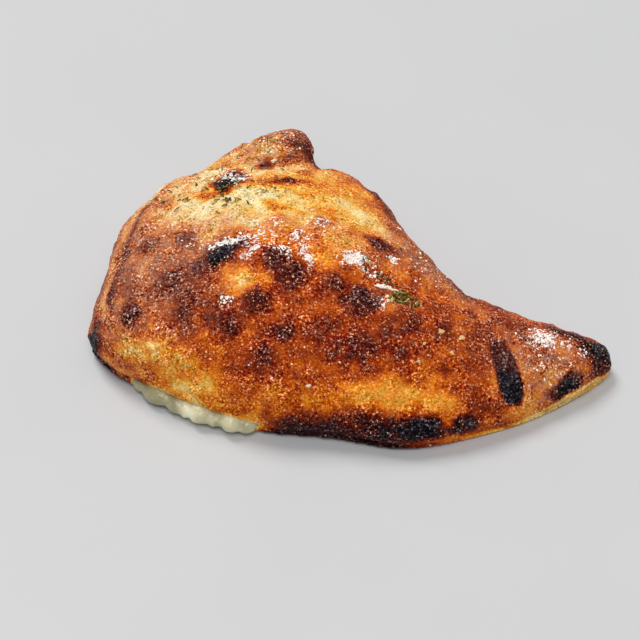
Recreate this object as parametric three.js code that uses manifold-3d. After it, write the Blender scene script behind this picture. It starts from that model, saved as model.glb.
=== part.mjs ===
// A baked calzone: one round of pizza dough folded over cheese, sealed along its near side and
// blistered in a hot oven. The cheese has run out through a gap in the seal.
//
// Millimetres, +Z up. The origin is on the surface that it rests on, under the middle of its box.
// +X runs along its length to the thin end, and -Y is the sealed side where the cheese shows.

import * as THREE from "three";
import { mergeVertices } from "three/addons/utils/BufferGeometryUtils.js";
import Module from "manifold-3d";

const wasm = await Module();
wasm.setup();

// ---------------------------------------------------------------------- driving dimensions

const GAP = 0.3; // clearance between the crust and the filling
const SMALLEST_FACET = 0.02; // slivers finer than this are dropped after a cut or a join

// Crust. The outline is the widest line of the dough: x, y and its height above the table.
// It starts at the blunt end and runs along the near side; CRUST_TIP counts to the thin end.
const CRUST_OUTLINE = [
  [-127, -29, 12], [-118, -45, 12], [-101, -57, 13], [-73, -72, 13],
  [-44, -82, 10], [-10, -86, 9], [22, -92, 8], [48, -88, 7],
  [82, -76, 6], [112, -58, 6], [126, -44, 7], [120, -34, 8],
  [102, -26, 9], [78, -16, 10], [57, -6, 11], [40, 14, 12],
  [26, 38, 13], [10, 65, 14.5], [-15, 78, 16], [-56, 79, 14],
  [-90, 66, 14], [-108, 46, 13], [-119, 20, 12], [-124, -8, 12],
];
const CRUST_TIP = 10;
const CRUST_SPINE = [
  [-78, -8, 48], [-50, 4, 54], [-14, 2, 55], [24, -26, 44],
  [64, -44, 31], [98, -46, 23], [114, -45, 18],
];
const CRUST_DETAIL = { stations: 54, top: 16, wall: 9, base: 1 };
const CROWN = 0.95; // power of the cosine that rounds the top; less is fuller
const UNDERCUT = 0.65; // how far the wall draws in below the widest line, as a share of its height
const SMOOTH_ROUNDS = 4; // evening out of the upper side
const SMOOTH_ABOVE = 15; // height where that starts

// Seal: the folded half's lip stands over the bottom layer, with a groove between the two.
const SEAM_LEVEL = 0.5; // share of the wall's height, from the widest line down
const SEAM_WIDTH = 0.12;
const SEAM_DEPTH = 2.2;
const BEAD_LEVEL = 0.78;
const BEAD_WIDTH = 0.15;
const BEAD_PROUD = 1.8;
const FOLD_START = 0.2; // shares of the far side between which the dough is folded, not sealed
const FOLD_END = 0.9;
const FOLD_BLEND = 0.2;

// Corner of the folded half that curls up at the far side: x, y, z, half width, half height.
const LOBE = [
  [-94, 48, 16, 6, 7], [-79, 57, 18, 9, 11], [-63, 65.5, 20, 12.5, 15], [-47, 73.5, 22, 15, 18.5],
  [-34, 78, 23, 15, 20], [-26, 80, 23, 14, 18.5], [-23, 80.5, 22, 6, 9],
];
const LOBE_DETAIL = { stations: 14, round: 16 };
const LOBE_FOLDS = { depth: 0.9, across: 0.34, along: 0.16 };

// Relief on the upper side: x, y, half length, half width, turn in degrees, height.
const BLISTERS = [
  [-60, 39, 8, 7, 0, 1.8], [-62, -15, 11, 6, 30, 2.2], [-31, -22, 12, 7, -48, 2.0],
  [5, -38, 9, 8, 20, 2.0], [-44, -42, 7, 7, 0, 1.5], [-31, -57, 6, 5, 0, 1.2],
  [-41, -66, 7, 6, 15, 1.4], [-58, -50, 8, 5, -10, 1.2], [-107, -40, 7, 6, 0, 1.2],
  [-86, -27, 8, 6, 10, 1.4], [-98, 1, 5, 7, 0, 1.2], [-78, -3, 5, 6, 0, 1.2],
  [-79, -40, 9, 8, 0, 1.4], [-8, -30, 6, 5, 0, 1.2], [20, -47, 10, 7, 10, 1.6],
  [7, -61, 11, 6, -5, 1.6], [-29, 42, 7, 4, 0, 1.0], [-35, 6, 7, 4, 0, 1.0],
  [14, -1, 6, 4, 0, 0.9], [43, -38, 6, 4, 0, 0.8], [59, -76, 5, 5, 0, 0.9],
  [31, -76, 22, 8, 0, -1.6], [-95, -48, 14, 7, -28, 1.2], [-2, 34, 16, 10, 20, 1.2],
];
const VENT = { x: 73, y: -63, length: 27, width: 9, turn: -76, depth: 1.6 };
// Slow unevenness of the dough: radians per mm along X and Y, and a phase.
const WAVES = [[0.075, 0.031, 0.4], [-0.042, 0.088, 1.9], [0.11, -0.12, 4.2]];
const WAVE_HEIGHT = 0.45;

// Filling: the same kind of form inside the crust, resting on the bottom layer.
const FILLING_OUTLINE = [
  [-112, -22, 10], [-108, -38, 9], [-97, -53, 7], [-70, -68, 7],
  [-42, -77, 7], [-10, -73, 8], [20, -77, 8], [44, -71, 8],
  [63, -62, 8], [73, -50, 9], [61, -31, 10], [42, -16, 11],
  [26, 4, 12], [12, 28, 12], [0, 50, 13], [-20, 61, 13],
  [-54, 64, 13], [-82, 54, 13], [-98, 36, 12], [-107, 8, 12],
];
const FILLING_TIP = 9;
const FILLING_SPINE = [
  [-76, -8, 42], [-50, 3, 48], [-14, 0, 49], [20, -27, 39], [38, -38, 32], [52, -43, 27],
];
const FILLING_DETAIL = { stations: 22, top: 6, wall: 3, base: 1 };
const FILLING_FLOOR = 4; // thickness of the bottom layer of dough

// Cheese that has run out under the lip: x, y, half length along the gap, radius.
const CURDS = [
  [-99.5, -53, 5, 3.8], [-91, -60, 9, 5.2], [-82, -65.5, 6, 4.6], [-77, -68.5, 3.6, 4.8],
  [-70.5, -71, 6.6, 5.8], [-63, -74.5, 3.8, 4.6], [-56, -76.5, 6.2, 5.6], [-48.5, -78.6, 4.2, 4.4],
];
const CURD_FLATTEN = 0.88;
const CURD_STRETCH = 1.2; // across the lip, so that each one reaches back into the filling
const CURD_LIFT = 0.2; // above the table
const LEAK_TURN = -0.43; // direction of the gap in the seal, in radians from +X
const CURD_ROUGHNESS = 0.07;

// What is scattered on top, in patches: x, y, half length, half width, count.
const GRAIN_PATCHES = [
  [-59, 45, 6, 5, 5], [-59, -7, 8, 3, 4], [-50, -17, 4, 4, 3], [-22, -9, 3, 8, 4],
  [2, -16, 6, 6, 7], [20, -11, 3, 3, 2], [15, -28, 7, 2, 4], [93, -44, 9, 6, 7],
  [-58, -40, 5, 4, 2], [-12, 7, 5, 3, 2], [-44, 0, 4, 3, 2],
];
const HERB_PATCHES = [
  [25, -34, 8, 8, 8], [19, -24, 3, 3, 2], [-61, 22, 4, 3, 3],
  [-58, 36, 34, 22, 9], [-46, 72, 8, 6, 3],
];
const GRAIN_RADIUS = [0.8, 1.4];
const GRAIN_NARROW = [0.6, 1]; // width as a share of length
const GRAIN_FLATTEN = 0.6; // height as a share of length
const HERB_SIZE = { length: [2.6, 4.2], width: 1.3, thickness: 0.6, wave: 0.25 };
const SEEDS = [[42, -50, 1.6], [52, -51, 1.3]]; // x, y, radius
const SEED_THICKNESS = 0.9;
const SEED_SIDES = 8;
const SCATTER_SEED = 11;

// ---------------------------------------------------------------------- small helpers

const bump = (value) => Math.exp(-value * value);
const smoothstep = THREE.MathUtils.smoothstep;
const points = (rows) => rows.map(([x, y, z]) => new THREE.Vector3(x, y, z));

// Repeatable draws between two values, by Lehmer's generator.
function randomFrom(seed) {
  const multiplier = 16807;
  const modulus = 2147483647;
  let state = seed;
  return (low = 0, high = 1) => {
    state = (state * multiplier) % modulus;
    return low + ((high - low) * state) / modulus;
  };
}

// Geometry whose shared vertices are merged, with positions only.
function welded(geometry) {
  geometry.deleteAttribute("normal");
  geometry.deleteAttribute("uv");
  return mergeVertices(geometry);
}

function toSolid(geometry) {
  const plain = welded(geometry);
  return new wasm.Manifold(
    new wasm.Mesh({
      numProp: 3,
      vertProperties: new Float32Array(plain.attributes.position.array),
      triVerts: new Uint32Array(plain.index.array),
    }),
  );
}

function toGeometry(solid) {
  const mesh = solid.getMesh();
  const geometry = new THREE.BufferGeometry();
  geometry.setAttribute("position", new THREE.BufferAttribute(mesh.vertProperties, 3));
  geometry.setIndex(new THREE.BufferAttribute(mesh.triVerts, 1));
  geometry.computeVertexNormals();
  return geometry;
}

function largestBody(solid) {
  const bodies = solid.decompose();
  return bodies.reduce((best, body) => (body.volume() > best.volume() ? body : best));
}

// Skin over closed rings of points. A ring may shrink to a line or a point.
function loft(rings) {
  const corners = [];
  const addTriangle = (a, b, c) => {
    const flat = a.distanceTo(b) < 1e-6 || b.distanceTo(c) < 1e-6 || c.distanceTo(a) < 1e-6;
    if (!flat) corners.push(a, b, c);
  };
  for (let row = 0; row < rings.length - 1; row++) {
    const upper = rings[row];
    const lower = rings[row + 1];
    upper.forEach((point, i) => {
      const next = (i + 1) % upper.length;
      addTriangle(point, lower[i], lower[next]);
      addTriangle(point, lower[next], upper[next]);
    });
  }
  return welded(new THREE.BufferGeometry().setFromPoints(corners));
}

// ---------------------------------------------------------------------- the domed form

// Paired stations: near side from the blunt end to the tip, then the far side back again.
function stationsOf(outlineRows, spineRows, tip, count) {
  const outline = new THREE.CatmullRomCurve3(points(outlineRows), true, "catmullrom", 0.5);
  const spine = new THREE.CatmullRomCurve3(points(spineRows), false, "catmullrom", 0.5);
  const steps = 50;
  outline.arcLengthDivisions = outlineRows.length * steps;
  const lengths = outline.getLengths();
  const tipShare = lengths[tip * steps] / lengths.at(-1);
  const stations = [];
  for (let i = 0; i < 2 * count; i++) {
    const far = i > count;
    const share = (far ? 2 * count - i : i) / count;
    const edge = outline.getPointAt(far ? 1 - (1 - tipShare) * share : tipShare * share);
    stations.push({ edge, ridge: spine.getPointAt(share), far, share });
  }
  return stations;
}

// How far the wall stands in from the widest line at a share of the way down to the table.
function sealOffset(station, level) {
  const folded =
    smoothstep(station.share, FOLD_START, FOLD_START + FOLD_BLEND) *
    (1 - smoothstep(station.share, FOLD_END - FOLD_BLEND, FOLD_END));
  const sealed = station.far ? 1 - folded : 1;
  const groove = SEAM_DEPTH * bump((level - SEAM_LEVEL) / SEAM_WIDTH);
  const bead = BEAD_PROUD * bump((level - BEAD_LEVEL) / BEAD_WIDTH);
  return sealed * (groove - bead);
}

// A dome over a free outline: rings from the spine to the widest line, down the wall and
// across the base. It can grow by a clearance on every side.
function dome({ outline, spine, tip, detail, floor, seal, grow = 0 }) {
  const stations = stationsOf(outline, spine, tip, detail.stations);
  const bottom = floor - grow;
  const at = ({ edge, ridge }, reach, inset, z) => {
    const across = new THREE.Vector2(edge.x - ridge.x, edge.y - ridge.y);
    const length = across.length();
    across.multiplyScalar((reach * (length + grow - inset)) / length);
    return new THREE.Vector3(ridge.x + across.x, ridge.y + across.y, z);
  };
  const rings = [];
  for (let i = 0; i <= detail.top; i++) {
    const angle = (i / detail.top) * (Math.PI / 2);
    const rise = i < detail.top ? Math.cos(angle) ** CROWN : 0;
    rings.push(
      stations.map((station) => {
        const { edge, ridge } = station;
        return at(station, Math.sin(angle), 0, edge.z + (ridge.z + grow - edge.z) * rise);
      }),
    );
  }
  const baseInset = (edge) => UNDERCUT * (edge.z - floor);
  for (let i = 1; i <= detail.wall; i++) {
    const angle = (i / detail.wall) * (Math.PI / 2);
    const level = Math.sin(angle);
    rings.push(
      stations.map((station) => {
        const { edge } = station;
        const offset = seal && i < detail.wall ? sealOffset(station, level) : 0;
        const inset = baseInset(edge) * (1 - Math.cos(angle)) + offset;
        return at(station, 1, inset, edge.z + (bottom - edge.z) * level);
      }),
    );
  }
  for (let i = 1; i <= detail.base; i++) {
    const reach = 1 - i / detail.base;
    rings.push(stations.map((station) => at(station, reach, baseInset(station.edge), bottom)));
  }
  return loft(rings);
}

// ---------------------------------------------------------------------- crust

function mound(x, y, [cx, cy, halfLength, halfWidth, turn, height]) {
  const angle = THREE.MathUtils.degToRad(turn);
  const along = (x - cx) * Math.cos(angle) + (y - cy) * Math.sin(angle);
  const across = (y - cy) * Math.cos(angle) - (x - cx) * Math.sin(angle);
  return height * bump(Math.hypot(along / halfLength, across / halfWidth));
}

function reliefAt(x, y) {
  const blisters = BLISTERS.reduce((sum, row) => sum + mound(x, y, row), 0);
  const vent = mound(x, y, [VENT.x, VENT.y, VENT.length / 2, VENT.width / 2, VENT.turn, -VENT.depth]);
  const waves = WAVES.reduce((sum, [kx, ky, phase]) => sum + Math.sin(kx * x + ky * y + phase), 0);
  return blisters + vent + WAVE_HEIGHT * waves;
}

// Evens out the upper side: each round moves its points halfway to the middle of their neighbours.
function relax(geometry) {
  const { position } = geometry.attributes;
  const corners = geometry.index.array;
  const neighbours = Array.from({ length: position.count }, () => new Set());
  corners.forEach((corner, i) => {
    const next = i % 3 === 2 ? i - 2 : i + 1;
    neighbours[corner].add(corners[next]);
    neighbours[corners[next]].add(corner);
  });
  const readPoints = () =>
    neighbours.map((_, i) => new THREE.Vector3().fromBufferAttribute(position, i));
  for (let round = 0; round < SMOOTH_ROUNDS; round++) {
    const before = readPoints();
    before.forEach((point, i) => {
      if (point.z < SMOOTH_ABOVE) return;
      const middle = new THREE.Vector3();
      neighbours[i].forEach((j) => middle.add(before[j]));
      middle.divideScalar(neighbours[i].size).lerp(point, 0.5);
      position.setXYZ(i, middle.x, middle.y, middle.z);
    });
  }
  return geometry;
}

// Moves the upper side of a form along its normals.
function addRelief(geometry) {
  geometry.computeVertexNormals();
  const { position, normal } = geometry.attributes;
  const point = new THREE.Vector3();
  const direction = new THREE.Vector3();
  for (let i = 0; i < position.count; i++) {
    point.fromBufferAttribute(position, i);
    direction.fromBufferAttribute(normal, i);
    const weight = smoothstep(direction.z, 0, 0.5);
    point.addScaledVector(direction, weight * reliefAt(point.x, point.y));
    position.setXYZ(i, point.x, point.y, point.z);
  }
  return geometry;
}

// The curled corner: an elliptical section carried along its own curve, with shallow folds.
function lobe() {
  const path = new THREE.CatmullRomCurve3(points(LOBE), false, "catmullrom", 0.5);
  const sizes = new THREE.CatmullRomCurve3(
    points(LOBE.map((row) => [row[3], row[4], 0])), false, "catmullrom", 0.5,
  );
  const { stations, round } = LOBE_DETAIL;
  const ringAt = (share, scale) => {
    const centre = path.getPoint(share);
    const size = sizes.getPoint(share).multiplyScalar(scale);
    const tangent = path.getTangent(share);
    const side = tangent.clone().cross(new THREE.Vector3(0, 0, 1)).normalize();
    const up = side.clone().cross(tangent);
    return Array.from({ length: round }, (_, i) => {
      const angle = (i / round) * 2 * Math.PI;
      const height = centre.z + size.y * Math.sin(angle);
      const fold = Math.sin(LOBE_FOLDS.across * height + LOBE_FOLDS.along * centre.x);
      const swell = scale * LOBE_FOLDS.depth * fold * Math.abs(Math.cos(angle));
      return centre.clone()
        .addScaledVector(side, (size.x + swell) * Math.cos(angle))
        .addScaledVector(up, size.y * Math.sin(angle));
    });
  };
  const rings = [ringAt(0, 0)];
  for (let i = 0; i <= stations; i++) rings.push(ringAt(i / stations, 1));
  rings.push(ringAt(1, 0));
  return loft(rings);
}

// ---------------------------------------------------------------------- toppings

const random = randomFrom(SCATTER_SEED);

// A flattened grain of flour or grated cheese.
function grain(radius) {
  const geometry = new THREE.IcosahedronGeometry(radius, 0);
  return geometry.scale(1, random(...GRAIN_NARROW), GRAIN_FLATTEN);
}

// A thin wavy flake of dried herb.
function herbFlake(length) {
  const { width, thickness, wave } = HERB_SIZE;
  const geometry = new THREE.BoxGeometry(length, width, thickness, 3, 1, 1);
  const { position } = geometry.attributes;
  for (let i = 0; i < position.count; i++) {
    const x = position.getX(i);
    const lift = wave * Math.sin((x / length) * 2 * Math.PI + position.getY(i));
    position.setZ(i, position.getZ(i) + lift);
  }
  return geometry;
}

function seedDisc(radius) {
  const disc = new THREE.CylinderGeometry(radius, radius, SEED_THICKNESS, SEED_SIDES);
  return disc.rotateX(Math.PI / 2);
}

// Puts a small form on the crust at x, y, laid on the surface with a random turn.
function placer(surface) {
  const mesh = new THREE.Mesh(surface, new THREE.MeshBasicMaterial());
  const down = new THREE.Vector3(0, 0, -1);
  const up = new THREE.Vector3(0, 0, 1);
  const above = 100;
  return (geometry, x, y) => {
    const ray = new THREE.Raycaster(new THREE.Vector3(x, y, above), down);
    const [hit] = ray.intersectObject(mesh);
    const turn = new THREE.Quaternion().setFromAxisAngle(up, random(0, 2 * Math.PI));
    const lay = new THREE.Quaternion().setFromUnitVectors(up, hit.face.normal);
    geometry.applyQuaternion(turn).applyQuaternion(lay);
    return geometry.translate(hit.point.x, hit.point.y, hit.point.z);
  };
}

// Count random spots inside an elliptical patch, given to make(x, y).
function fillPatch([cx, cy, halfLength, halfWidth, count], make) {
  return Array.from({ length: count }, () => {
    const reach = Math.sqrt(random());
    const angle = random(0, 2 * Math.PI);
    return make(cx + halfLength * reach * Math.cos(angle), cy + halfWidth * reach * Math.sin(angle));
  });
}

function toppings(surface) {
  const place = placer(surface);
  const grains = GRAIN_PATCHES.flatMap((patch) =>
    fillPatch(patch, (x, y) => place(grain(random(...GRAIN_RADIUS)), x, y)),
  );
  const herbs = HERB_PATCHES.flatMap((patch) =>
    fillPatch(patch, (x, y) => place(herbFlake(random(...HERB_SIZE.length)), x, y)),
  );
  const seeds = SEEDS.map(([x, y, radius]) => place(seedDisc(radius), x, y));
  return [...grains, ...herbs, ...seeds];
}

// ---------------------------------------------------------------------- filling

// One lump of run-out cheese, uneven, flattened and drawn back under the lip.
function curd([x, y, halfLength, radius], grow) {
  const geometry = welded(new THREE.IcosahedronGeometry(1, 2));
  const { position } = geometry.attributes;
  const point = new THREE.Vector3();
  const height = radius * CURD_FLATTEN;
  for (let i = 0; i < position.count; i++) {
    point.fromBufferAttribute(position, i);
    const uneven = Math.sin(3 * point.x + x) * Math.cos(3 * point.y + 2 * point.z + y);
    point.multiplyScalar(1 + CURD_ROUGHNESS * uneven);
    point.multiply({ x: halfLength + grow, y: radius * CURD_STRETCH + grow, z: height + grow });
    position.setXYZ(i, point.x, point.y, Math.max(point.z, -height - grow));
  }
  return geometry.rotateZ(LEAK_TURN).translate(x, y, height + CURD_LIFT);
}

function fillingSolid(grow) {
  const inside = dome({
    outline: FILLING_OUTLINE, spine: FILLING_SPINE, tip: FILLING_TIP,
    detail: FILLING_DETAIL, floor: FILLING_FLOOR, seal: false, grow,
  });
  return wasm.Manifold.union([toSolid(inside), ...CURDS.map((row) => toSolid(curd(row, grow)))]);
}

function crustSolid() {
  const body = dome({
    outline: CRUST_OUTLINE, spine: CRUST_SPINE, tip: CRUST_TIP,
    detail: CRUST_DETAIL, floor: 0, seal: true,
  });
  const dough = toSolid(addRelief(relax(body))).add(toSolid(lobe()));
  const dressed = wasm.Manifold.union([dough, ...toppings(toGeometry(dough)).map(toSolid)]);
  return largestBody(dressed.subtract(fillingSolid(GAP)));
}

// ---------------------------------------------------------------------- assembly

function addPart(group, name, solid, look) {
  const geometry = toGeometry(solid.simplify(SMALLEST_FACET));
  const mesh = new THREE.Mesh(geometry, new THREE.MeshStandardMaterial({ metalness: 0, ...look }));
  mesh.name = name;
  group.add(mesh);
}

const calzone = new THREE.Group();
calzone.name = "calzone";
addPart(calzone, "crust", crustSolid(), { color: 0xb06a2c, roughness: 0.6 });
addPart(calzone, "filling", fillingSolid(0), { color: 0xe6dfc4, roughness: 0.45 });

export default calzone;
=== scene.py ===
"""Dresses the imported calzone: browned and blistered dough, run-out cheese, flour, crumbs and herbs.

Places and sizes are millimetres in the part's own frame until a mesh is finished, and then the
mesh is scaled to metres. The driving dimensions of the form repeat those of the part's source.
"""

import math

import bmesh
import bpy
import numpy as np
from mathutils import Matrix, Vector
from mathutils.bvhtree import BVHTree


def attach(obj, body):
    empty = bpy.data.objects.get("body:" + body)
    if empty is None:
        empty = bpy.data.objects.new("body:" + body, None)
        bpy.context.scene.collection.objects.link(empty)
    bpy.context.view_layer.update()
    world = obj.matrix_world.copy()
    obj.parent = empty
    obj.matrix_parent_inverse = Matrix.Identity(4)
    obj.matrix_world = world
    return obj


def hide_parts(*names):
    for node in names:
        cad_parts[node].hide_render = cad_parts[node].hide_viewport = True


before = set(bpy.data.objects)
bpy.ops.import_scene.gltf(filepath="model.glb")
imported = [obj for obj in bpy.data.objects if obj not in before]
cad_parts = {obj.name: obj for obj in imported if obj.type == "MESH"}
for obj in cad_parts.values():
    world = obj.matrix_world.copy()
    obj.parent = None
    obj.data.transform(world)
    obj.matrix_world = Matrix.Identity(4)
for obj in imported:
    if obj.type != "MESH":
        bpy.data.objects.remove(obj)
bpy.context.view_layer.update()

MM = 0.001
rng = np.random.default_rng(7)

# ---- driving dimensions

CRUST = {
    "outline": [
        (-127, -29, 12), (-118, -45, 12), (-101, -57, 13), (-73, -72, 13),
        (-44, -82, 10), (-10, -86, 9), (22, -92, 8), (48, -88, 7),
        (82, -76, 6), (112, -58, 6), (126, -44, 7), (120, -34, 8),
        (102, -26, 9), (78, -16, 10), (57, -6, 11), (40, 14, 12),
        (26, 38, 13), (10, 65, 14.5), (-15, 78, 16), (-56, 79, 14),
        (-90, 66, 14), (-108, 46, 13), (-119, 20, 12), (-124, -8, 12),
    ],
    "tip": 10,
    "spine": [
        (-78, -8, 48), (-50, 4, 54), (-14, 2, 55), (24, -26, 44),
        (64, -44, 31), (98, -46, 23), (114, -45, 18),
    ],
    "stations": 54, "top": 16, "wall": 9, "floor": 0,
}
FILLING = {
    "outline": [
        (-112, -22, 10), (-108, -38, 9), (-97, -53, 7), (-70, -68, 7),
        (-42, -77, 7), (-10, -73, 8), (20, -77, 8), (44, -71, 8),
        (63, -62, 8), (73, -50, 9), (61, -31, 10), (42, -16, 11),
        (26, 4, 12), (12, 28, 12), (0, 50, 13), (-20, 61, 13),
        (-54, 64, 13), (-82, 54, 13), (-98, 36, 12), (-107, 8, 12),
    ],
    "tip": 9,
    "spine": [
        (-76, -8, 42), (-50, 3, 48), (-14, 0, 49), (20, -27, 39), (38, -38, 32), (52, -43, 27),
    ],
    "stations": 22, "top": 6, "wall": 3, "floor": 4,
}
GAP = 0.3
CROWN = 0.95  # power of the cosine that rounds the top
UNDERCUT = 0.65  # how far the wall draws in below its widest line, as a share of its height
SMOOTH_ROUNDS, SMOOTH_ABOVE = 4, 15  # how often, and over what height, the form is evened out
SEAM_LEVEL, SEAM_WIDTH, SEAM_DEPTH = 0.5, 0.12, 2.2
BEAD_LEVEL, BEAD_WIDTH, BEAD_PROUD = 0.78, 0.15, 1.8
FOLD_START, FOLD_END, FOLD_BLEND = 0.2, 0.9, 0.2
FINER = 6  # steps of the shown crust for each step of the coarse form
CRUST_MESH = 1.05  # spacing of the shown crust's mesh

# Curled corner: x, y, z, half width, half height.
LOBE = [
    (-94, 48, 16, 6, 7), (-79, 57, 18, 9, 11), (-63, 65.5, 20, 12.5, 15), (-47, 73.5, 22, 15, 18.5),
    (-34, 78, 23, 15, 20), (-26, 80, 23, 14, 18.5), (-23, 80.5, 22, 6, 9),
]
LOBE_STATIONS, LOBE_ROUND = 90, 120

# Relief on the upper side: x, y, half length, half width, turn in degrees, height.
BLISTERS = [
    (-60, 39, 8, 7, 0, 1.8), (-62, -15, 11, 6, 30, 2.2), (-31, -22, 12, 7, -48, 2),
    (5, -38, 9, 8, 20, 2), (-44, -42, 7, 7, 0, 1.5), (-31, -57, 6, 5, 0, 1.2),
    (-41, -66, 7, 6, 15, 1.4), (-58, -50, 8, 5, -10, 1.2), (-107, -40, 7, 6, 0, 1.2),
    (-86, -27, 8, 6, 10, 1.4), (-98, 1, 5, 7, 0, 1.2), (-78, -3, 5, 6, 0, 1.2),
    (-79, -40, 9, 8, 0, 1.4), (-8, -30, 6, 5, 0, 1.2), (20, -47, 10, 7, 10, 1.6),
    (7, -61, 11, 6, -5, 1.6), (-29, 42, 7, 4, 0, 1), (-35, 6, 7, 4, 0, 1), (14, -1, 6, 4, 0, 0.9),
    (43, -38, 6, 4, 0, 0.8), (59, -76, 5, 5, 0, 0.9), (31, -76, 22, 8, 0, -1.6),
    (-95, -48, 14, 7, -28, 1.2), (-2, 34, 16, 10, 20, 1.2),
]
# Where the crinkles are strong: x, y, half length, half width, turn, share.
CRINKLED = [(-80, -42, 34, 20, 25, 1), (-60, 4, 40, 12, 5, 0.7), (-74, 56, 34, 14, 25, 0.8)]
# Long low waves: how fast each turns along x and y, and where it starts.
WAVES = [(0.075, 0.031, 0.4), (-0.042, 0.088, 1.9), (0.11, -0.12, 4.2)]
WAVE_HEIGHT = 0.45
CRINKLE_HEIGHT = 0.85
SMALL_BLISTERS = 230  # random ones, besides those above
VENT = (72.6, -61.3, 14.4, 5.4, -75)  # burnt slot in the tail: x, y, half length, half width, turn
VENT_TAPER = 0.14
VENT_DEPTH = 1.6
RIM_WIDTH, RIM_FADE = 13, 2.5  # of the rolled rim round the thick end
EDGE_IN, LINE_WIDTH = 4.2, 1.8  # where the rim's dark line runs, and how wide its lines are
CREASE_REACH, CREASE_ROUNDS = 5, 90  # how far and how often the corner's crease is smoothed
CREASE_SLOW = 0.12  # share of a smoothing step taken where it would wear the dough away

# Run-out cheese: x, y, half length along the gap, radius.
CURDS = [
    (-99.5, -53, 5, 3.8), (-91, -60, 9, 5.2), (-82, -65.5, 6, 4.6), (-77, -68.5, 3.6, 4.8),
    (-70.5, -71, 6.6, 5.8), (-63, -74.5, 3.8, 4.6), (-56, -76.5, 6.2, 5.6), (-48.5, -78.6, 4.2, 4.4),
]
# Changes of the cheese's tone along the gap: x, width, change.
CURD_TONES = [(-77, 4.5, 0.6), (-83.5, 2, -0.2), (-63, 2, -0.2), (-57, 5, 0.2), (-50, 2, -0.15)]
CURD_FLATTEN = 0.88
CURD_MELT = 2.4  # how far the lumps are swollen and drawn back, to fuse them
CURD_STRETCH = 1.2
CURD_LIFT = 0.2
CURD_MESHES = (0.45, 0.4)  # spacing of the lumps' mesh before and after their folds
LEAK_TURN = -0.43
CHEESE_SWELL = 0.22  # of the lumps shown, which nearly closes the gap to the dough
LIP_WIDTH = 1.6  # of the pale dough over the cheese
LIP_BELOW = 22  # height under which that dough lies

# ---- how it is browned, and where shade is painted

# Charred or dark brown spots on top: x, y, half length, half width, turn, strength.
CHAR = [
    (-59, 41.5, 8, 14, -14, 1.35), (-62.5, -14.5, 13, 7.5, 33, 1.45), (-34, -20, 8, 7, -20, 0.8),
    (-28, -27, 8, 9, -50, 0.92), (5, -38, 10, 8.5, 0, 0.95), (-44.5, -41.5, 8, 8, 0, 0.8),
    (-31, -57, 6.5, 6, 0, 0.72), (-41.5, -65, 8, 6, 10, 0.68), (-57.5, -50, 7, 6, 0, 0.56),
    (-104.5, -36.5, 7, 6, 20, 0.84), (-86, -26, 9, 6, 35, 0.56), (-98, 1, 4.5, 7.5, -10, 0.6),
    (-78, -3, 6, 6, 0, 0.58), (-79, -39, 8, 10, -30, 0.5), (-8.5, -30, 6, 5, -30, 0.56),
    (27, -48, 13, 8, 0, 0.42), (6, -60, 10, 6, 0, 0.26), (-29.5, 42, 7, 4, 0, 0.8),
    (-41, 62, 5, 4.5, 0, 0.85), (14, -1, 8, 4, -32, 0.85), (20, 16, 7, 4, -30, 0.4),
    (-58, -41.5, 12, 2.2, 3, 0.5), (16, 43, 18, 4.5, -58, 0.5), (-20, 71, 8, 3.4, -20, 0.8),
    (106, -37, 14, 4.5, -15, 0.95), (118, -43, 10, 10, -30, 1.25), (60, -16, 10, 2.6, -38, 0.5),
    (12, -71, 12, 4, 8, 0.3), (-12, -50, 6, 4, 0, 0.2), (-36, 19, 7, 3.5, -8, 0.36),
    (-68, 27, 7, 4, 0, 0.42), (-11, 7, 6, 4, -20, 0.4), (43, -38, 8, 5, 0, 0.25),
    (-22, 55, 6, 3, 0, 0.4), (-90, 30, 5, 7, 20, 0.36), (60, -79, 8, 5, 0, 0.45),
    (-70, -25, 8, 5, 10, 0.25), (-106, -20, 6, 11, 0, 0.46),
]
# Charred spots on the wall and the rim, the lowest partly painted shade at the foot: x, y, z, half
# length, half width, half height, turn, strength.
RIM_CHAR_AND_SHADE = [
    (26, -92, 14, 25, 8, 7.5, 2, 1.22), (54, -87, 12.5, 10, 6, 7.5, 12, 1.08),
    # The rows at heights 2 and 5 darken the foot of the front and of the thick end: some char, and
    # painted shade where the wall meets the table.
    (-6, -88, 2, 28, 9, 8, -7, 0.4), (104, -65, 13, 10, 8, 8, 28, 1.25),
    (-124, -36, 11, 9, 9, 13, -70, 1.2), (126, -41, 13, 8, 9, 13, 70, 1.15),
    (-103, -57, 5, 14, 7, 5, -35, 0.7), (-117, -46, 5, 10, 8, 7, -50, 0.95),
]
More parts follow.
